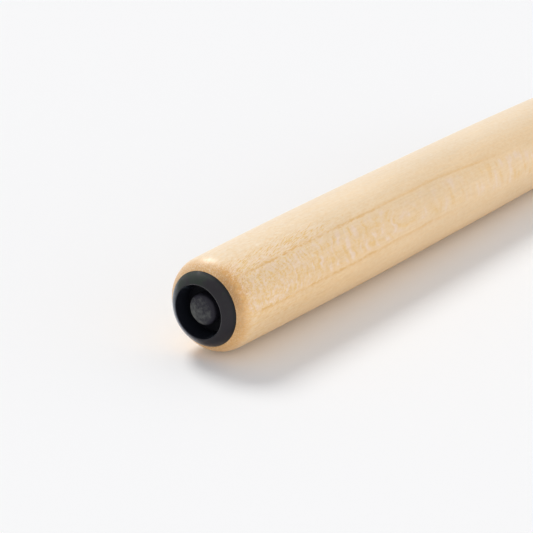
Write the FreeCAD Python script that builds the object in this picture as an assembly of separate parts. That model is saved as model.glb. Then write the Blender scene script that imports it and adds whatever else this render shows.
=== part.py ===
# One stick of a pair of claves: a turned hardwood rod with a black rubber bumper let into each end.
# A bumper is a cup with a bevelled lip. A round-headed nail holds it: the head bears on a washer on the
# cup's floor, and the ringed shank is driven into the wood.
# Millimetres. +X runs along the stick, +Z is up, and the origin is the middle of the stick on its axis.
# The sizes of an end count inboard from its end plane, which is where the wood stops.
import FreeCAD, Part

import math
import os

# ---- driving dimensions -------------------------------------------------------------------------------
# stick
stick_length = 200.0            # the wood, from end plane to end plane
stick_diameter = 25.0           # the straight middle, which is the thickest part
straight_length = 40.0          # the straight middle
taper_drop = 0.85               # what the radius loses between the straight middle and a shoulder
shoulder_length = 4.5           # along the stick, from the end plane to where the rounding starts
shoulder_width = 2.4            # on the radius, from there in to the bumper

# bumper
flange_let_in = 1.5             # depth of the seat that the flange lies in
flange_step = 1.2               # how much wider the flange is than the cup behind it, on the radius
lip_height = 2.4                # how far the lip stands out of the wood
lip_width = 2.65                # on the radius, from the flange's edge in to the recess
lip_bulge = 0.33                # how far the bevel's arc stands off its chord
lip_rounding = 0.25             # at the rim of the recess
recess_depth = 5.4              # from the top of the lip to the cup's floor
recess_rounding = 0.4           # between the recess's wall and the floor
floor_thickness = 2.0

# washer
washer_thickness = 1.0
washer_edge = 0.15              # bevel round both rims

# nail
head_diameter = 7.5
head_height = 3.15              # from the washer to the top of the crown
head_crown = 0.3                # rise of the face in its middle
head_edge = 0.6                 # rounding of the face's edge
shank_diameter = 3.8
shank_length = 25.0             # from under the head to the tip
point_length = 4.0
ring_pitch = 1.5
ring_height = 0.2
first_ring = 1.0                # below the floor of the cup's bore, in solid wood

# fits
wood_clearance = 0.05           # on the radius, between the bumper and its bores in the wood
depth_clearance = 0.3           # behind the cup: the flange is what seats
washer_clearance = 0.55         # on the radius, between the washer and the recess's wall
washer_hole_clearance = 0.25    # on the radius, between the shank and the washer
rubber_clearance = 0.1          # on the radius, between the shank and the hole in the floor
nail_clearance = 0.02           # on the radius: the wood has closed in round the rings

same_point = 0.000001           # two points nearer than this are one

# ---- sizes that follow --------------------------------------------------------------------------------
stick_radius = stick_diameter / 2
end_radius = stick_radius - taper_drop
seat_radius = end_radius - shoulder_width
flange_radius = seat_radius - wood_clearance
cup_radius = flange_radius - flange_step
recess_radius = flange_radius - lip_width
washer_radius = recess_radius - washer_clearance
shank_radius = shank_diameter / 2
head_radius = head_diameter / 2

lip_top = -lip_height
floor_top = lip_top + recess_depth
floor_back = floor_top + floor_thickness
bore_floor = floor_back + depth_clearance
washer_top = floor_top - washer_thickness
head_top = washer_top - head_height
shank_tip = washer_top + shank_length


class Outline:
    """A closed outline beside the X axis, drawn point by point, that is turned round it into a solid."""

    def __init__(self, along, radius):
        self.start = FreeCAD.Vector(along, radius, 0)
        self.here = self.start
        self.edges = []

    def line(self, along, radius):
        """A straight line; one that would lead nowhere is left out."""
        there = FreeCAD.Vector(along, radius, 0)
        if there.distanceToPoint(self.here) > same_point:
            self.edges.append(Part.LineSegment(self.here, there).toShape())
        self.here = there

    def lines(self, points):
        for along, radius in points:
            self.line(along, radius)

    def arc(self, along, radius, bulge):
        """An arc that stands off its chord by the bulge, to the left of the way it is drawn."""
        there = FreeCAD.Vector(along, radius, 0)
        chord = there - self.here
        aside = FreeCAD.Vector(-chord.y, chord.x, 0).normalize() * bulge
        middle = (self.here + there) * 0.5 + aside
        self.edges.append(Part.Arc(self.here, middle, there).toShape())
        self.here = there

    def turned(self):
        self.line(self.start.x, self.start.y)
        face = Part.Face(Part.Wire(self.edges))
        return face.revolve(FreeCAD.Vector(0, 0, 0), FreeCAD.Vector(1, 0, 0), 360)


def bulge_of(chord, turn):
    """How far an arc stands off its chord when it turns by an angle, in radians, from end to end."""
    return chord / 2 * math.tan(turn / 4)


def quarter_bulge(rounding):
    """The same for a quarter circle of a given radius."""
    return bulge_of(rounding * math.sqrt(2), math.pi / 2)


def shank_points(growth=0.0):
    """The nail's shank from its plain top down to its tip, made wider by the growth all round."""
    root = shank_radius + growth
    crest = root + ring_height
    ring_top = bore_floor + first_ring
    ring_count = int((shank_tip - point_length - ring_top) / ring_pitch)
    points = [(ring_top, root)]
    for index in range(ring_count):
        top = ring_top + index * ring_pitch
        points += [(top, crest), (top + ring_pitch, root)]
    points += [(shank_tip - point_length, root), (shank_tip + growth, 0)]
    return points


def bore_points():
    """The stepped bore in an end of the stick, from its mouth to the tip of the nail's hole."""
    return [
        (flange_let_in, seat_radius),
        (flange_let_in, cup_radius + wood_clearance),
        (bore_floor, cup_radius + wood_clearance),
        (bore_floor, shank_radius + nail_clearance),
    ] + shank_points(nail_clearance)


def make_stick():
    """The whole rod in one outline: outside from front to rear, then back through both bores."""
    half_length = stick_length / 2
    half_straight = straight_length / 2
    shoulder_start = half_length - shoulder_length

    taper_length = shoulder_start - half_straight
    taper_chord = math.hypot(taper_length, taper_drop)
    taper_turn = 2 * math.atan2(taper_drop, taper_length)
    taper_bulge = bulge_of(taper_chord, taper_turn)

    shoulder_chord = math.hypot(shoulder_length, shoulder_width)
    shoulder_turn = 2 * (math.atan2(shoulder_width, shoulder_length) - taper_turn)
    shoulder_bulge = bulge_of(shoulder_chord, shoulder_turn)

    outline = Outline(-half_length, seat_radius)
    outline.arc(-shoulder_start, end_radius, shoulder_bulge)
    outline.arc(-half_straight, stick_radius, taper_bulge)
    outline.line(half_straight, stick_radius)
    outline.arc(shoulder_start, end_radius, taper_bulge)
    outline.arc(half_length, seat_radius, shoulder_bulge)
    outline.lines([(half_length - inboard, radius) for inboard, radius in bore_points()])
    outline.lines([(inboard - half_length, radius) for inboard, radius in reversed(bore_points())])
    return outline.turned()


def make_bumper():
    """The cup: bevelled lip, flange, wall, and a floor with a hole for the nail."""
    hole_radius = shank_radius + rubber_clearance
    outline = Outline(floor_top, hole_radius)
    outline.line(floor_top, recess_radius - recess_rounding)
    outline.arc(floor_top - recess_rounding, recess_radius, -quarter_bulge(recess_rounding))
    outline.line(lip_top + lip_rounding, recess_radius)
    outline.arc(lip_top, recess_radius + lip_rounding, quarter_bulge(lip_rounding))
    outline.arc(0, flange_radius, lip_bulge)
    outline.line(flange_let_in, flange_radius)
    outline.line(flange_let_in, cup_radius)
    outline.line(floor_back, cup_radius)
    outline.line(floor_back, hole_radius)
    return outline.turned()


def make_washer():
    """A flat ring with both rims bevelled."""
    hole_radius = shank_radius + washer_hole_clearance
    outline = Outline(washer_top, hole_radius)
    outline.line(washer_top, washer_radius - washer_edge)
    outline.line(washer_top + washer_edge, washer_radius)
    outline.line(floor_top - washer_edge, washer_radius)
    outline.line(floor_top, washer_radius - washer_edge)
    outline.line(floor_top, hole_radius)
    return outline.turned()


def make_nail():
    """A crowned head with a rounded edge, on a shank that is plain as far as the wood and ringed in it."""
    crown_chord = math.hypot(head_radius - head_edge, head_crown)
    crown_turn = 2 * math.atan2(head_crown, head_radius - head_edge)
    outline = Outline(head_top, 0)
    outline.arc(head_top + head_crown, head_radius - head_edge, bulge_of(crown_chord, crown_turn))
    outline.arc(head_top + head_crown + head_edge, head_radius, quarter_bulge(head_edge))
    outline.line(washer_top, head_radius)
    outline.line(washer_top, shank_radius)
    outline.lines(shank_points())
    return outline.turned()


def at_end(shape, end):
    """Moves a piece drawn from the end plane to the front end, at -X, or to the rear end, at +X."""
    placed = shape.copy()
    placed.translate(FreeCAD.Vector(-stick_length / 2, 0, 0))
    if end == "rear":
        placed.rotate(FreeCAD.Vector(0, 0, 0), FreeCAD.Vector(0, 0, 1), 180)
    return placed


pieces = {"stick": make_stick()}
end_pieces = {"bumper": make_bumper(), "washer": make_washer(), "nail": make_nail()}
for end in ("front", "rear"):
    for name, shape in end_pieces.items():
        pieces[f"{end}_{name}"] = at_end(shape, end)

os.makedirs("parts", exist_ok=True)
for name, shape in pieces.items():
    shape.exportStep(f"parts/{name}.step")
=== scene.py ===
import math

import bmesh
import bpy
from mathutils import Matrix, Vector, noise


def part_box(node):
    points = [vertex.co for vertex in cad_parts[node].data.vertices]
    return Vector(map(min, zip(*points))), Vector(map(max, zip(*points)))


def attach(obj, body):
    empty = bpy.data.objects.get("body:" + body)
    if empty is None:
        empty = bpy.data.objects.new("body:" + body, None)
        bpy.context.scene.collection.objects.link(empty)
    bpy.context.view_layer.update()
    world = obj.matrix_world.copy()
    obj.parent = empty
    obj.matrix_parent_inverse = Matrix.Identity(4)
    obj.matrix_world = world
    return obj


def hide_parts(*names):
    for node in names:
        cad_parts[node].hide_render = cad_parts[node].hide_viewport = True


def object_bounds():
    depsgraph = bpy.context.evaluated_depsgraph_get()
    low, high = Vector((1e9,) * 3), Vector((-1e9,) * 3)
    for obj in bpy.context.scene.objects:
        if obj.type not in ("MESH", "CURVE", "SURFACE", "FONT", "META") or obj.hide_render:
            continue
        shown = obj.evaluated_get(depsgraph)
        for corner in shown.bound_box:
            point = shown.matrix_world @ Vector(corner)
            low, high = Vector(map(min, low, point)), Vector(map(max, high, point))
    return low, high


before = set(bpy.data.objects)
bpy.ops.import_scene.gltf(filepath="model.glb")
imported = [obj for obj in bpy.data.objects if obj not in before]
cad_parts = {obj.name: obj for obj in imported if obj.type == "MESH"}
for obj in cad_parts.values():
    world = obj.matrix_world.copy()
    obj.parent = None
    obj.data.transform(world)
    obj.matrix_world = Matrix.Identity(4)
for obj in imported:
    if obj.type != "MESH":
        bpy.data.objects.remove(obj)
cadLow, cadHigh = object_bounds()
print("frame loaded:", len(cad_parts), "nodes")

mm = 0.001                  # outlines and grain are drawn in millimetres, Blender holds metres
fullTurn = 2 * math.pi
sharpEdge = 32.0            # degrees; edges that turn more than this stay sharp


class Wire:
    # a socket of a node tree; sums and products of it add their own Math nodes
    def __init__(self, tree, socket=None):
        self.tree = tree
        self.socket = socket

    def node(self, kind, settings=None, sockets=None, out=0):
        made = self.tree.nodes.new(kind)
        for key, value in (settings or {}).items():
            setattr(made, key, value)
        for key, value in (sockets or {}).items():
            if isinstance(value, Wire):
                self.tree.links.new(value.socket, made.inputs[key])
            else:
                made.inputs[key].default_value = value
        return Wire(self.tree, made.outputs[out] if made.outputs else None)

    def sister(self, out):
        # another output of the node that this wire comes from
        return Wire(self.tree, self.socket.node.outputs[out])

    def maths(self, operation, *values):
        return self.node("ShaderNodeMath", {"operation": operation}, dict(enumerate(values)))

    def __add__(self, other):
        return self.maths("ADD", self, other)

    def __radd__(self, other):
        return self.maths("ADD", other, self)

    def __sub__(self, other):
        return self.maths("SUBTRACT", self, other)

    def __rsub__(self, other):
        return self.maths("SUBTRACT", other, self)

    def __mul__(self, other):
        return self.maths("MULTIPLY", self, other)

    def __rmul__(self, other):
        return self.maths("MULTIPLY", other, self)

    def __truediv__(self, other):
        return self.maths("DIVIDE", self, other)

    def __rtruediv__(self, other):
        return self.maths("DIVIDE", other, self)

    def __abs__(self):
        return self.maths("ABSOLUTE", self)

    def root(self):
        return self.maths("SQRT", self)

    def sine(self):
        return self.maths("SINE", self)

    def cosine(self):
        return self.maths("COSINE", self)

    def wave(self):
        # one sine wave for each whole number
        return (self * fullTurn).sine()

    def fraction(self):
        return self.maths("FRACT", self)

    def angle(self, other):
        return self.maths("ARCTAN2", self, other)

    def least(self, other):
        return self.maths("MINIMUM", self, other)

    def most(self, other):
        return self.maths("MAXIMUM", self, other)

    def fade(self, low, high):
        # 0 at low and 1 at high, smooth between them; low may be the larger
        ends = {"Value": self, "From Min": low, "From Max": high}
        return self.node("ShaderNodeMapRange", {"interpolation_type": "SMOOTHSTEP"}, ends)

    def mixColour(self, base, other):
        # this wire is the factor
        return self.blend("MIX", self, base, other)

    def blend(self, kind, factor, base, other):
        settings = {"data_type": "RGBA", "blend_type": kind, "clamp_factor": True}
        sockets = {0: factor, 6: opaque(base), 7: opaque(other)}
        return self.node("ShaderNodeMix", settings, sockets, out=2)


def opaque(colour):
    # three numbers get the alpha that a colour socket wants; a wire stays as it is
    return (*colour, 1) if isinstance(colour, tuple) else colour


def newMaterial(name):
    # also gives the point on the piece, in millimetres of the frame
    material = bpy.data.materials.new(name)
    material.use_nodes = True
    material.node_tree.nodes.clear()
    tree = Wire(material.node_tree)
    metres = tree.node("ShaderNodeTexCoord", out="Object")
    point = tree.node("ShaderNodeVectorMath", {"operation": "SCALE"}, {0: metres, "Scale": 1 / mm})
    x = tree.node("ShaderNodeSeparateXYZ", None, {0: point})
    return material, tree, (x, x.sister("Y"), x.sister("Z"))


def finishMaterial(tree, sockets):
    shader = tree.node("ShaderNodeBsdfPrincipled", None, sockets)
    tree.node("ShaderNodeOutputMaterial", None, {"Surface": shader})


def drift(axes, lengths, detail=1.0, roughness=0.5, seed=0.0):
    # noise round 0, mostly within 0.25, with a length of its own along each axis
    x, y, z = [axis / length for axis, length in zip(axes, lengths)]
    place = x.node("ShaderNodeCombineXYZ", None, {0: x + seed, 1: y, 2: z})
    sockets = {"Vector": place, "Scale": 1.0, "Detail": detail, "Roughness": roughness}
    return x.node("ShaderNodeTexNoise", None, sockets) - 0.5


def bump(height, strength, distance):
    sockets = {"Height": height, "Strength": strength, "Distance": distance * mm}
    return height.node("ShaderNodeBump", None, sockets)


def bulgeOf(chord, turn):
    # how far an arc stands off its chord when it turns by an angle from end to end
    return chord / 2 * math.tan(turn / 4)


def arcTo(points, end, bulge, steps):
    # adds an arc to a list of (along, radius) points; it stands off its chord to the left of its way
    start = Vector(points[-1])
    end = Vector(end)
    chord = (end - start).length
    left = Vector((start.y - end.y, end.x - start.x)) / chord
    centre = (start + end) / 2 - left * (chord * chord / 4 - bulge * bulge) / (2 * bulge)
    turn = (start - centre).angle_signed(end - centre)
    for i in range(1, steps + 1):
        spoke = start - centre
        spoke.rotate(Matrix.Rotation(-turn * i / steps, 2))
        points.append(tuple(centre + spoke))


def roundTo(points, end, side, steps):
    # a quarter circle, with side 1 to the left of its way and -1 to the right
    chord = math.dist(points[-1], end)
    arcTo(points, end, side * bulgeOf(chord, math.pi / 2), steps)


def flipped(outline):
    # the mirror image, for the rear end
    return [(-along, radius) for along, radius in outline]


def atEnd(outline, side):
    # side is -1 for the front end, where outlines are drawn, and 1 for the rear
    return flipped(outline) if side > 0 else outline


def ringOf(build, along, radius, steps):
    # a circle of points round the X axis, or the one point on it
    if radius == 0:
        return [build.verts.new((along * mm, 0, 0))]
    ring = []
    for i in range(steps):
        angle = fullTurn * i / steps
        place = (along * mm, radius * mm * math.sin(angle), radius * mm * math.cos(angle))
        ring.append(build.verts.new(place))
    return ring


def joinRings(build, one, two, steps):
    if len(one) == len(two) == 1:
        return
    for i in range(steps):
        j = (i + 1) % steps
        if len(one) == 1:
            build.faces.new((one[0], two[j], two[i]))
        elif len(two) == 1:
            build.faces.new((one[i], one[j], two[0]))
        else:
            build.faces.new((one[i], one[j], two[j], two[i]))


def turned(name, outline, steps, closed, material, node):
    # spins an outline round the X axis into a mesh that stands for a node of the frame
    build = bmesh.new()
    rings = [ringOf(build, along, radius, steps) for along, radius in outline]
    following = rings[1:] + rings[:1] if closed else rings[1:]
    for one, two in zip(rings, following):
        joinRings(build, one, two, steps)
    bmesh.ops.recalc_face_normals(build, faces=build.faces)
    mesh = bpy.data.meshes.new(name)
    build.to_mesh(mesh)
    build.free()
    mesh.shade_smooth()
    mesh.set_sharp_from_angle(angle=math.radians(sharpEdge))
    mesh.materials.append(material)
    piece = bpy.data.objects.new(name, mesh)
    bpy.context.scene.collection.objects.link(piece)
    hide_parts(node)
    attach(piece, "root")
    return piece


def boxOf(node):
    low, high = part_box(node)
    return low / mm, high / mm


stickHigh = boxOf("stick")[1]

stick = {
    "halfLength": stickHigh.x,
    "radius": stickHigh.z,
    "straight": 40.0,
    "taperDrop": 0.85,
    "shoulderLength": 4.5,
    "shoulderWidth": 2.4,
    "seatDepth": 1.5,
    "boreRoom": 0.3,                    # between the bumper's back and the floor of its bore
    "arcSteps": 24,                     # faces to each arc of the outline
    "steps": 288,                       # faces round the stick
    "heart": (0.877, 0.610, 0.324),     # the plain wood between the figures
    "sapwoodAndTopLight": (0.888, 0.683, 0.442),   # paler, towards the upper side: sapwood, and painted light on the lit top
    "pale": (0.892, 0.668, 0.482),      # crest of a ripple in the figure
    "gold": (0.852, 0.550, 0.205),      # its trough
    "line": (0.79, 0.46, 0.14),         # late wood, at the edge of a year's ring
    "endGrainAndShade": (0.69, 0.355, 0.10),    # the shoulders soak up more lacquer, and are partly painted shade
    "endEdgeStainAndShade": (0.42, 0.22, 0.07),      # painted shade in the crease beside the bumper, with some end-grain stain
    "figureRadius": 12.0,               # radius at which the figure is drawn, so that it follows the taper
    "faceTurn": 65.0,                   # degrees from the top to the flat-sawn face, towards the viewer
    "faceTwist": 10.0,                  # and how far it turns on beyond the middle of the stick
    "pithDepth": 45.0,                  # from the stick's axis to the heart of the tree
    "ringSpacing": 2.6,
    "ringPhase": 0.621,
    "eye": 30.0,                        # from the middle of the stick to the oval inside the ripples
    "eyeHeight": 1.8,                   # how many times longer than high the oval is
    "ripple": 0.18,                     # ripples to the millimetre beside the eye
    "rippleGain": 0.0022,               # and how much faster they close up towards the end
    "endEye": 89.0,                     # a second, finer oval beside the end
    "endRipple": 0.6,
    "bandContrast": 5.5,                # of the ripples round the ovals
    "broadContrast": 5.0,               # of the broad ripples beyond the middle
    "fleckContrast": 4.8,
    "spotContrast": 2.5,                # of the larger flecks
    "mottle": (0.1, 0.27, 0.65),        # how much the fine mottle changes red, green and blue
    "roughness": 0.55,
    "lacquerIor": 1.5,
    "coat": 0.66,
    "coatRoughness": 0.355,
}
stick["taperLength"] = stick["halfLength"] - stick["shoulderLength"] - stick["straight"] / 2
stick["endRadius"] = stick["radius"] - stick["taperDrop"]
stick["seatRadius"] = stick["endRadius"] - stick["shoulderWidth"]


class WoodPlace:
    # a point of the stick by the wood's own axes: along, across the flat-sawn face, outwards through it
    def __init__(self, x, y, z):
        inward = ((abs(x) - stick["straight"] / 2) / stick["taperLength"]).most(0.0).least(1.0)
        swell = stick["figureRadius"] / (stick["radius"] - stick["taperDrop"] * inward * inward)
        turn = math.radians(stick["faceTurn"]) + x.fade(-17, 35) * math.radians(stick["faceTwist"])
        radius = (y * y + z * z).root() * swell
        self.point = (x, y, z)
        self.x = x
        self.bearing = (y * -1).angle(z) - turn
        self.height = self.bearing.cosine() * radius
        self.across = self.bearing.sine() * radius
        self.axes = (x, self.across, self.height)
        self.fromEnd = stick["halfLength"] - abs(x)
        self.nearEnd = self.fromEnd.fade(50, 15)
        self.rough = self.fromEnd.fade(85, 30)      # how much the grain breaks up the lines


def growthLines(wood):
    # year rings: late wood darkens slowly outwards and stops short
    fromPith = wood.height + stick["pithDepth"]
    depth = (fromPith * fromPith + wood.across * wood.across).root() - stick["pithDepth"]
    depth = depth + drift(wood.axes, (30, 20, 20)) * 0.3 + drift(wood.axes, (6, 3, 3), detail=3.0) * 0.16
    frayed = drift(wood.axes, (0.9, 0.45, 0.45), detail=2.0) * 0.24 * (0.2 + 0.8 * wood.rough)
    ring = ((depth + frayed) / stick["ringSpacing"] + stick["ringPhase"]).fraction()
    grained = drift(wood.axes, (1.6, 0.6, 0.6), detail=2.0).fade(-0.10, 0.10)
    grained = grained * wood.rough + (1 - wood.rough)
    stretch = drift(wood.axes, (7, 9, 9), seed=5.0).fade(-0.12, 0.06)
    sharp = ring.fade(0.86, 0.94) * ring.fade(1.0, 0.955) * grained * (0.35 + 0.65 * stretch)
    soft = ring.fade(0.78, 0.95) * ring.fade(1.0, 0.93)
    late = sharp * (0.3 + 0.45 * wood.rough) + soft * (0.35 - 0.13 * wood.rough)
    late = late * wood.fromEnd.fade(2.5, 7.0)
    # in front they run out past the middle of the stick, the lower ones sooner; at the back they are faint
    inFront = wood.x.fade(30, 5) * (1 - wood.across.fade(-2, 2) * wood.x.fade(-28, 0) * 0.8)
    return late * (inFront * wood.height.fade(9.0, 10.5) + wood.height.fade(-4.5, -7.5) * 0.4)


def rippleCycles(wood):
    # counts the ripples outwards from the nearer of two ovals
    pastEye = wood.x * -1 - stick["eye"]
    along = pastEye.most(0.0) - pastEye.least(0.0) * 0.8
    aside = wood.across * stick["eyeHeight"]
    ringed = (along * along + aside * aside + 0.5).root()
    cycles = ringed * stick["ripple"] + ringed * along * stick["rippleGain"]
    endAlong = abs(wood.x) - stick["endEye"]
    endRinged = (endAlong * endAlong + wood.across * wood.across * 0.8 + 0.6).root()
    cycles = cycles.least(endRinged * stick["endRipple"])
    cycles = cycles + drift(wood.axes, (8, 5, 5), seed=3.0) * 1.5
    return cycles + drift(wood.axes, (2.2, 1.6, 1.6), detail=2.0) * (0.6 + 0.9 * wood.nearEnd)


def faceRipples(wood):
    # uneven bands round the ovals, and broad ones straight across beyond them
    cycles = rippleCycles(wood)
    patch = drift(wood.axes, (3.5, 2.4, 2.4), detail=2.0, seed=7.0).fade(-0.17, 0.09)
    bandAxes = (cycles, wood.across, wood.height)
    bands = drift(bandAxes, (0.55, 3.0, 6.0), detail=3.0, roughness=0.55, seed=29.0)
    broad = drift(wood.axes, (2.7, 6.0, 6.0), roughness=0.4, seed=31.0)
    stripe = cycles.wave() * (0.1 + 0.4 * patch) + bands * stick["bandContrast"]
    stripe = stripe + (broad * stick["broadContrast"] - stripe) * wood.x.fade(-32, -12)
    stripe = stripe * abs(wood.across).fade(5.0, 3.4)
    ripple = stripe.fade(-0.15, 1.1) - stripe.fade(0.15, -1.1) * 0.7
    return ripple * (0.7 + 0.3 * wood.fromEnd.fade(85, 50)) * (0.7 + 0.3 * wood.fromEnd.fade(10, 25))


def faceFlecks(wood):
    # strongest at the ends
    fine = drift(wood.axes, (0.36, 0.55, 0.55), detail=3.0, roughness=0.65, seed=19.0)
    large = drift(wood.axes, (1.3, 1.8, 1.8), detail=2.0, seed=23.0)
    flecks = fine * stick["fleckContrast"] + large * stick["spotContrast"]
    return flecks * (0.07 + 0.93 * wood.fromEnd.fade(36, 8))


def edgeStrokes(wood):
    # short strokes aslant of the stick, where the grain dips
    sheared = wood.bearing * stick["figureRadius"] + wood.x * 0.2
    sheared = sheared + drift(wood.axes, (4.0, 2.0, 2.0), detail=2.0) * 0.7
    strokeAxes = (wood.x, sheared, wood.height)
    strokes = drift(strokeAxes, (1.9, 0.2, 6.0), detail=2.0, roughness=0.6, seed=17.0)
    return strokes.fade(0.02, -0.2) * 1.6 - strokes.fade(-0.02, 0.18) * 2.0


def besideFace(wood, face):
    # where the strokes show: most at the ends and along the upper edge of the face
    side = (0.12 + 0.88 * wood.fromEnd.fade(60, 12)) * (0.3 + 0.7 * wood.across.fade(1, -3))
    return side * (1 - face * 0.7) * wood.across.fade(-10.5, -6.0)


def plainWood(wood):
    # paler upwards, partly as painted light on the lit top, and, past the front, over the face, but for a
    # golden band beside the upper line
    band = wood.across.fade(-11.0, -6.5) * wood.across.fade(-1.5, -4.5) * wood.x.fade(-80, 30)
    overFace = wood.x.fade(-62, -25) * wood.across.fade(11.0, 8.0) * 0.3
    pallorAndTopLight = wood.across.fade(3.0, -9.0).most(overFace) * (1 - band * 0.75)
    return pallorAndTopLight.mixColour(stick["heart"], stick["sapwoodAndTopLight"])


def unevenTone(wood, fibres, dips):
    # a slow change along the stick, its fibres, and a fine mottle that changes blue the most
    slow = drift(wood.point, (45, 9, 9))
    mottle = drift(wood.point, (1.5, 0.7, 0.7), detail=2.0, roughness=0.6) * (0.9 + 0.6 * wood.nearEnd)
    grey = slow * 0.16 + fibres * 0.16 + dips * 0.018 + 0.97
    channels = {i: grey + mottle * share for i, share in enumerate(stick["mottle"])}
    return grey.node("ShaderNodeCombineColor", None, channels)


def endStainsAndShade(wood):
    # speckled masks for the end grain of a shoulder, stain and partly painted shade, and for the painted
    # shade and stain at its edge beside the bumper
    speckle = drift(wood.point, (0.36, 0.28, 0.28), detail=3.0, roughness=0.65)
    # lean: the side of the shoulder where the painted shade lies heavier
    lean = wood.across.fade(4.0, -2.0) * wood.height.fade(6.5, 10.0)
    place = wood.fromEnd + drift(wood.point, (0.9, 0.9, 0.9), detail=2.0) * 1.6 + speckle * 3.0
    grain = place.fade(3.9, 1.3) * (0.54 + 0.40 * lean + speckle * (2.8 + lean * 4.2))
    grain = grain.most(place.fade(7.5, 2.5) * lean * (0.25 + speckle * 5.0))
    # edge: painted shade in the crease beside the bumper, speckled with stain
    edge = 0.27 + 0.33 * wood.height.fade(4, 10) + 0.25 * lean + speckle * (0.8 + lean)
    return grain, place.fade(2.0, 0.2) * edge


def mapleFinish():
    material, tree, point = newMaterial("maple_satin_lacquer")
    wood = WoodPlace(*point)
    fibres = drift(wood.point, (9.0, 0.4, 0.4), detail=3.0, roughness=0.6)
    face = (wood.height + wood.nearEnd * 0.6).fade(11.0, 11.7)
    side = besideFace(wood, face)
    flecks = faceFlecks(wood)
    dips = edgeStrokes(wood) * side
    figure = (faceRipples(wood) + flecks) * face + dips + flecks * side * 0.4
    grain, edge = endStainsAndShade(wood)

    colour = plainWood(wood)
    colour = figure.fade(0.0, 1.0).mixColour(colour, stick["pale"])
    colour = figure.fade(0.0, -1.0).mixColour(colour, stick["gold"])
    colour = growthLines(wood).mixColour(colour, stick["line"])
    colour = tree.blend("MULTIPLY", 1.0, colour, unevenTone(wood, fibres, dips))
    # end-grain stain with painted shade on the shoulders, and painted shade in the crease beside the
    # bumper
    colour = grain.mixColour(colour, stick["endGrainAndShade"])
    colour = edge.mixColour(colour, stick["endEdgeStainAndShade"])
    sockets = {
        "Base Color": colour,
        "Roughness": stick["roughness"] + fibres * 0.12 + grain * 0.06,
        "IOR": stick["lacquerIor"],
        "Coat Weight": stick["coat"],
        "Coat Roughness": stick["coatRoughness"],
        "Coat IOR": stick["lacquerIor"],
        "Normal": bump(figure * 0.1 + fibres, strength=0.12, distance=0.1),
    }
    finishMaterial(tree, sockets)
    return material


def stickOutside():
    # from the front bumper's seat over the straight middle to the rear bumper's seat
    taperChord = math.hypot(stick["taperLength"], stick["taperDrop"])
    taperTurn = 2 * math.atan2(stick["taperDrop"], stick["taperLength"])
    shoulderChord = math.hypot(stick["shoulderLength"], stick["shoulderWidth"])
    shoulderTurn = 2 * (math.atan2(stick["shoulderWidth"], stick["shoulderLength"]) - taperTurn)
    shoulderEnd = (stick["shoulderLength"] - stick["halfLength"], stick["endRadius"])
    taperEnd = (-stick["straight"] / 2, stick["radius"])
    front = [(-stick["halfLength"], stick["seatRadius"])]
    arcTo(front, shoulderEnd, bulgeOf(shoulderChord, shoulderTurn), stick["arcSteps"])
    arcTo(front, taperEnd, bulgeOf(taperChord, taperTurn), stick["arcSteps"])
    return front + flipped(front[::-1])


def stickBore():
    # the bumper's seat, the bore behind it and the nail's hole, at the front end
    cupRadius = stick["seatRadius"] - bumper["flangeStep"]
    seatFloor = stick["seatDepth"] - stick["halfLength"]
    boreFloor = bumper["back"] + stick["boreRoom"]
    bore = [
        (seatFloor, stick["seatRadius"]),
        (seatFloor, cupRadius),
        (boreFloor, cupRadius),
        (boreFloor, nail["shankRadius"] + nail["clearance"]),
    ]
    return bore + shankOutline(nail["clearance"])


def makeStick():
    bore = stickBore()
    outline = stickOutside() + flipped(bore) + bore[::-1]
    turned("stick_wood", outline, stick["steps"], True, mapleFinish(), "stick")


bumperLow, bumperHigh = boxOf("front_bumper")

bumper = {
    "lipTop": bumperLow.x,
    "back": bumperHigh.x,
    "flangeRadius": bumperHigh.z,
    "flangeStep": 1.2,
    "lipWidth": 2.65,
    "lipBulge": 0.33,
    "lipRounding": 0.25,
    "recessFloor": boxOf("front_washer")[1].x,
    "recessRounding": 0.4,
    "holeRadius": 2.0,
    "recessSteps": 4,
    "rimSteps": 6,
    "bevelSteps": 16,
    "steps": 192,
    "body": (0.0132, 0.0110, 0.0152),
    "recess": (0.0080, 0.0092, 0.0138),     # inside the recess, darker and bluer: painted shade
    "bloomAndUpperLight": (0.0180, 0.0290, 0.0195),      # faint bloom, and painted light on the upper side
    "lowReflection": (0.070, 0.085, 0.125),         # the low side of the lip, painted paler as a reflection of the bright table, and rubbed to a gloss
    "rimHighlight": (0.048, 0.046, 0.049),       # painted highlight along the upper rim of the recess
    # painted shade along the outer edge, on the upper right side
    "outerEdgeShade": (0.0040, 0.0055, 0.0065),
    "roughness": 0.36,
    "shine": 0.27,
    "gloss": 0.1,                           # roughness of the gloss on the low side
    "glossIor": 1.5,
    "haze": 0.24,                           # dusty glow at grazing angles
    "hazeRoughness": 0.2,
    "hazeTint": (0.62, 0.82, 1.0),
    "moulding": 0.42,                       # between the fine rings that the mould left
}


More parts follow.
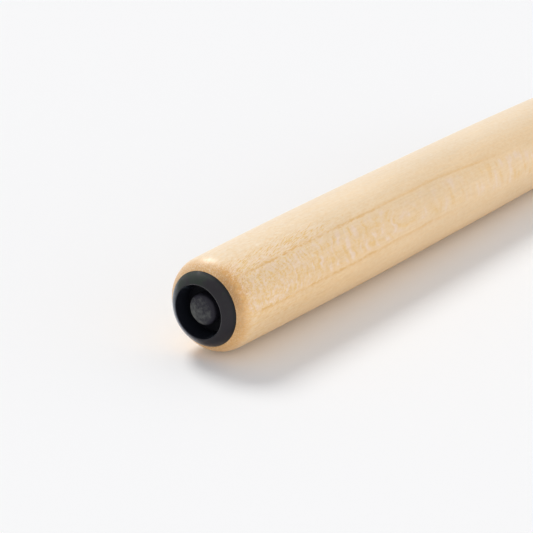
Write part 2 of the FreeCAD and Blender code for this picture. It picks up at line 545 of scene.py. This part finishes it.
def rubberFinish():
    material, tree, (x, y, z) = newMaterial("black_moulded_rubber")
    radius = (y * y + z * z).root()
    outwards = abs(x) - stick["halfLength"]
    grain = drift((x, y, z), (0.11, 0.11, 0.11), detail=3.0, roughness=0.6)
    mottle = drift((x, y, z), (2.8, 2.8, 2.8), detail=2.0)
    cloud = drift((x, y, z), (0.7, 0.7, 0.7), detail=2.0)
    moulding = (radius / bumper["moulding"] + drift((x, y, z), (2, 2, 2))).wave()

    # where the bloom, the painted light, reflection, highlight and shade lie, by radius and by how far
    # round the lip
    onLip = radius.fade(6.58, 6.75)
    # bloom, and painted light on the upper side of the lip
    bloomAndUpperLight = (mottle * 0.8 + (y * 0.57 + z * 0.82) * 0.045).fade(0.08, 0.42) * onLip
    # the low side of the lip: a painted reflection in its colour, and a real gloss coat
    low = (y * 0.88 - z * 0.47).fade(2.0, 8.0) * onLip
    # painted highlight along the upper rim of the recess
    rimHighlight = outwards.fade(1.9, 2.25) * radius.fade(6.95, 6.75) * (z - y + mottle * 8).fade(0, 6)
    # painted shade along the outer edge, on the upper right side
    outerEdgeShade = radius.fade(8.7, 9.1) * (z * 0.5 - y * 0.87).fade(-1.0, 5.0)

    dustAndUpperLight = bloomAndUpperLight * 0.8 + grain * 0.3 + cloud * 0.7
    # painted shade inside the recess; on the lip, dust and bloom, with painted light on the upper side
    colour = onLip.mixColour(bumper["recess"], dustAndUpperLight.mixColour(bumper["body"], bumper["bloomAndUpperLight"]))
    colour = low.mixColour(colour, bumper["lowReflection"])
    colour = rimHighlight.mixColour(colour, bumper["rimHighlight"])
    colour = outerEdgeShade.mixColour(colour, bumper["outerEdgeShade"])
    sockets = {
        "Base Color": colour,
        "Roughness": bumper["roughness"] + grain * 0.15 + bloomAndUpperLight * 0.3,
        "Specular IOR Level": bumper["shine"],
        "Coat Weight": low,
        "Coat Roughness": bumper["gloss"],
        "Coat IOR": bumper["glossIor"],
        "Sheen Weight": bumper["haze"],
        "Sheen Roughness": bumper["hazeRoughness"],
        "Sheen Tint": opaque(bumper["hazeTint"]),
        "Normal": bump(grain + moulding * 0.12, strength=0.25, distance=0.04),
    }
    finishMaterial(tree, sockets)
    return material


def makeBumper(end, side, material):
    bore, rounding = bumper["holeRadius"], bumper["recessRounding"]
    floor, back = bumper["recessFloor"], bumper["back"]
    lipTop, rim = bumper["lipTop"], bumper["lipRounding"]
    flangeRadius = bumper["flangeRadius"]
    recessRadius = flangeRadius - bumper["lipWidth"]
    cupRadius = flangeRadius - bumper["flangeStep"]
    endPlane = -stick["halfLength"]
    flangeBack = endPlane + stick["seatDepth"]
    outline = [(floor, bore), (floor, recessRadius - rounding)]
    roundTo(outline, (floor - rounding, recessRadius), -1, bumper["recessSteps"])
    outline.append((lipTop + rim, recessRadius))
    roundTo(outline, (lipTop, recessRadius + rim), 1, bumper["rimSteps"])
    arcTo(outline, (endPlane, flangeRadius), bumper["lipBulge"], bumper["bevelSteps"])
    outline += [(flangeBack, flangeRadius), (flangeBack, cupRadius), (back, cupRadius), (back, bore)]
    outline = atEnd(outline, side)
    node = end + "_bumper"
    turned(end + "_rubber_bumper", outline, bumper["steps"], True, material, node)


washerLow, washerHigh = boxOf("front_washer")

washer = {
    "top": washerLow.x,
    "bottom": washerHigh.x,
    "radius": washerHigh.z,
    "holeRadius": 2.15,
    "edge": 0.15,
    "steps": 96,
    # black oxide, made darker and bluer as painted shade in the recess
    "body": (0.0022, 0.0025, 0.0044),
    "worn": (0.0045, 0.0050, 0.0075),
    "roughness": 0.6,
    "shine": 0.1,
}


def washerFinish():
    material, tree, point = newMaterial("black_oxide_steel")
    speckle = drift(point, (0.25, 0.25, 0.25), detail=3.0, roughness=0.65)
    sockets = {
        "Base Color": speckle.fade(-0.05, 0.3).mixColour(washer["body"], washer["worn"]),
        "Roughness": washer["roughness"] + speckle * 0.2,
        "Specular IOR Level": washer["shine"],
        "Normal": bump(speckle, strength=0.2, distance=0.03),
    }
    finishMaterial(tree, sockets)
    return material


def makeWasher(end, side, material):
    top, bottom, edge = washer["top"], washer["bottom"], washer["edge"]
    rim, hole = washer["radius"], washer["holeRadius"]
    outline = [(top, hole), (top, rim - edge), (top + edge, rim)]
    outline += [(bottom - edge, rim), (bottom, rim - edge), (bottom, hole)]
    outline = atEnd(outline, side)
    node = end + "_washer"
    turned(end + "_steel_washer", outline, washer["steps"], True, material, node)


nailLow, nailHigh = boxOf("front_nail")

nail = {
    "top": nailLow.x,
    "tip": nailHigh.x,
    "headRadius": nailHigh.z,
    "crown": 0.3,
    "edge": 0.6,
    "shankRadius": 1.9,
    "pointLength": 4.0,
    "ringHeight": 0.2,
    "ringPitch": 1.5,
    "plainLength": 1.3,                     # in front of the first ring, from the bumper's back
    "clearance": 0.02,                      # round the shank in the wood
    "dent": 0.12,                           # depth of the hammer's dents
    "dentScale": 0.55,                      # dents to the millimetre
    "pitScale": 1.6,                        # the same for the smaller pits in them
    "pitShare": 0.3,
    "crownSteps": 24,
    "edgeSteps": 8,
    "steps": 96,
    "body": (0.106, 0.110, 0.106),
    "scale": (0.0165, 0.0155, 0.0235),      # dark scale, and painted shade thick on one side of the head
    "roughness": 0.62,
    "shine": 0.2,
}


def nailFinish():
    material, tree, (x, y, z) = newMaterial("dull_nail_steel")
    blotch = drift((x, y, z), (0.9, 0.9, 0.9), detail=3.0, roughness=0.6)
    speckle = drift((x, y, z), (0.17, 0.17, 0.17), detail=3.0, roughness=0.7)
    # painted shade: the head darker on one side, along its edge there and towards the top; the blotches
    # and speckle are dark scale
    lean = y * 0.87 - z * 0.5
    edge = (y * y + z * z).root().fade(2.5, 3.6) * lean.fade(1.4, -1.0)
    upperShade = z.fade(-0.5, 2.0) * y.fade(-1.0, 1.5)
    bareAndLit = blotch * 1.5 + speckle * 1.1 + lean * abs(lean) * 0.04 - edge * 0.6 - upperShade * 0.2
    sockets = {
        "Base Color": bareAndLit.fade(-0.48, 0.67).mixColour(nail["scale"], nail["body"]),
        "Roughness": nail["roughness"] + speckle * 0.25,
        "Specular IOR Level": nail["shine"],
        "Normal": bump(speckle * 0.5 + blotch, strength=0.4, distance=0.08),
    }
    finishMaterial(tree, sockets)
    return material


def shankOutline(growth):
    # from where the plain part ends, in the wood, down to the tip
    root = nail["shankRadius"] + growth
    ringTop = bumper["back"] + nail["plainLength"]
    pointTop = nail["tip"] - nail["pointLength"]
    points = [(ringTop, root)]
    for i in range(int((pointTop - ringTop) / nail["ringPitch"])):
        top = ringTop + i * nail["ringPitch"]
        points += [(top, root + nail["ringHeight"]), (top + nail["ringPitch"], root)]
    return points + [(pointTop, root), (nail["tip"] + growth, 0)]


def dentHead(piece, side):
    # the dents that the hammer left, all inwards
    faceLimit = -(nail["top"] + nail["crown"] + nail["edge"] / 2) * mm
    for vertex in piece.data.vertices:
        if vertex.co.x * side > faceLimit:
            place = Vector((side * 3, vertex.co.y / mm, vertex.co.z / mm))
            pits = abs(noise.noise(place * nail["pitScale"])) * nail["pitShare"]
            dent = abs(noise.noise(place * nail["dentScale"])) + pits
            vertex.co.x -= side * dent * nail["dent"] * mm


def makeNail(end, side, material):
    rim = nail["headRadius"]
    flat = rim - nail["edge"]
    shoulder = nail["top"] + nail["crown"]
    crownChord = math.hypot(flat, nail["crown"])
    crownTurn = 2 * math.atan2(nail["crown"], flat)
    outline = [(nail["top"], 0)]
    arcTo(outline, (shoulder, flat), bulgeOf(crownChord, crownTurn), nail["crownSteps"])
    roundTo(outline, (shoulder + nail["edge"], rim), 1, nail["edgeSteps"])
    outline += [(washer["top"], rim), (washer["top"], nail["shankRadius"])] + shankOutline(0.0)
    outline = atEnd(outline, side)
    node = end + "_nail"
    piece = turned(end + "_nail_steel", outline, nail["steps"], False, material, node)
    dentHead(piece, side)


makeStick()
print("stick turned")
rubberSkin = rubberFinish()
washerSkin = washerFinish()
nailSkin = nailFinish()
for end, side in (("front", -1), ("rear", 1)):
    makeBumper(end, side, rubberSkin)
    makeWasher(end, side, washerSkin)
    makeNail(end, side, nailSkin)
    print(end, "bumper, washer and nail set")

table = {
    "reach": 3.0,                       # metres from its middle to a side
    "white": (0.932, 0.932, 0.934),
}


def makeTable():
    # a square sheet just under the stick
    square = ((-1, -1), (1, -1), (1, 1), (-1, 1))
    corners = [(x * table["reach"], y * table["reach"], cadLow.z) for x, y in square]
    mesh = bpy.data.meshes.new("table_sheet")
    mesh.from_pydata(corners, [], [(0, 1, 2, 3)])
    material, tree, point = newMaterial("white_table")
    diffuse = tree.node("ShaderNodeBsdfDiffuse", None, {"Color": opaque(table["white"])})
    tree.node("ShaderNodeOutputMaterial", None, {"Surface": diffuse})
    mesh.materials.append(material)
    sheet = bpy.data.objects.new("table_sheet", mesh)
    bpy.context.scene.collection.objects.link(sheet)


light = {
    "keyWay": (0.245, 0.60, 0.762),     # from the stick towards the lamp
    "keyStrength": 1.6,
    "keyAngle": 22.0,
    "keyTint": (1.015, 1.0, 0.965),
    "sky": 0.54,
    "skyTint": (0.975, 0.995, 1.045),
    "frontSky": 1.05,                   # what the side by the camera adds, low down
    "frontTint": (1.06, 1.01, 0.94),
    "backdrop": 0.93,                   # what the camera sees behind the table
}


def makeKeyLamp():
    lamp = bpy.data.lights.new("key", "SUN")
    lamp.energy = light["keyStrength"]
    lamp.color = light["keyTint"]
    lamp.angle = math.radians(light["keyAngle"])
    holder = bpy.data.objects.new("key", lamp)
    holder.rotation_mode = "QUATERNION"
    holder.rotation_quaternion = Vector(light["keyWay"]).to_track_quat("Z", "Y")
    bpy.context.scene.collection.objects.link(holder)


def makeSky():
    world = bpy.data.worlds.new("studio")
    world.use_nodes = True
    world.node_tree.nodes.clear()
    bpy.context.scene.world = world
    tree = Wire(world.node_tree)
    way = tree.node("ShaderNodeTexCoord", out="Generated")
    x = tree.node("ShaderNodeSeparateXYZ", None, {0: way})
    y, z = x.sister("Y"), x.sister("Z")
    front = (y * -1 - x * 0.4).fade(-0.3, 1.0) * abs(z).fade(0.75, 0.1)
    level = light["sky"] + front * light["frontSky"]
    share = front * light["frontSky"] / level
    tint = share.mixColour(light["skyTint"], light["frontTint"])
    # the camera, gloss and glass see a plain backdrop instead
    path = tree.node("ShaderNodeLightPath")
    seen = path.most(path.sister("Is Glossy Ray")).most(path.sister("Is Transmission Ray"))
    tint = seen.mixColour(tint, (1, 1, 1))
    strength = seen * light["backdrop"] + (1 - seen) * level
    sky = tree.node("ShaderNodeBackground", None, {"Color": tint, "Strength": strength})
    tree.node("ShaderNodeOutputWorld", None, {"Surface": sky})


camera = {
    "distance": 400.0,
    "turn": 54.37,                      # of the view, from +Y towards +X
    "drop": 21.02,
    "focalPixels": 1732.0,
    "ringPixel": (204.2, 309.05),       # where the middle of the front end lands
    "imagePixels": 533,
    "sensor": 36.0,
    "nearest": 0.01,                    # metres, as the farthest
    "farthest": 20.0,
}


def makeCamera():
    turn, drop = math.radians(camera["turn"]), math.radians(camera["drop"])
    ahead = Vector((math.cos(drop) * math.sin(turn), math.cos(drop) * math.cos(turn), -math.sin(drop)))
    right = Vector((math.cos(turn), -math.sin(turn), 0))
    up = right.cross(ahead)
    middle = camera["imagePixels"] / 2
    scale = camera["distance"] / camera["focalPixels"]
    aside = (camera["ringPixel"][0] - middle) * scale
    below = (camera["ringPixel"][1] - middle) * scale
    ring = Vector((-stick["halfLength"], 0, 0))
    place = ring - ahead * camera["distance"] - right * aside + up * below
    lens = bpy.data.cameras.new("camera")
    lens.sensor_width = camera["sensor"]
    lens.lens = camera["focalPixels"] * camera["sensor"] / camera["imagePixels"]
    lens.clip_start = camera["nearest"]
    lens.clip_end = camera["farthest"]
    holder = bpy.data.objects.new("camera", lens)
    holder.matrix_world = Matrix((right, up, -ahead)).transposed().to_4x4()
    holder.location = place * mm
    bpy.context.scene.collection.objects.link(holder)
    bpy.context.scene.camera = holder


makeTable()
makeKeyLamp()
makeSky()
makeCamera()
bpy.context.scene.view_settings.view_transform = "Standard"
print("table, light and camera ready")
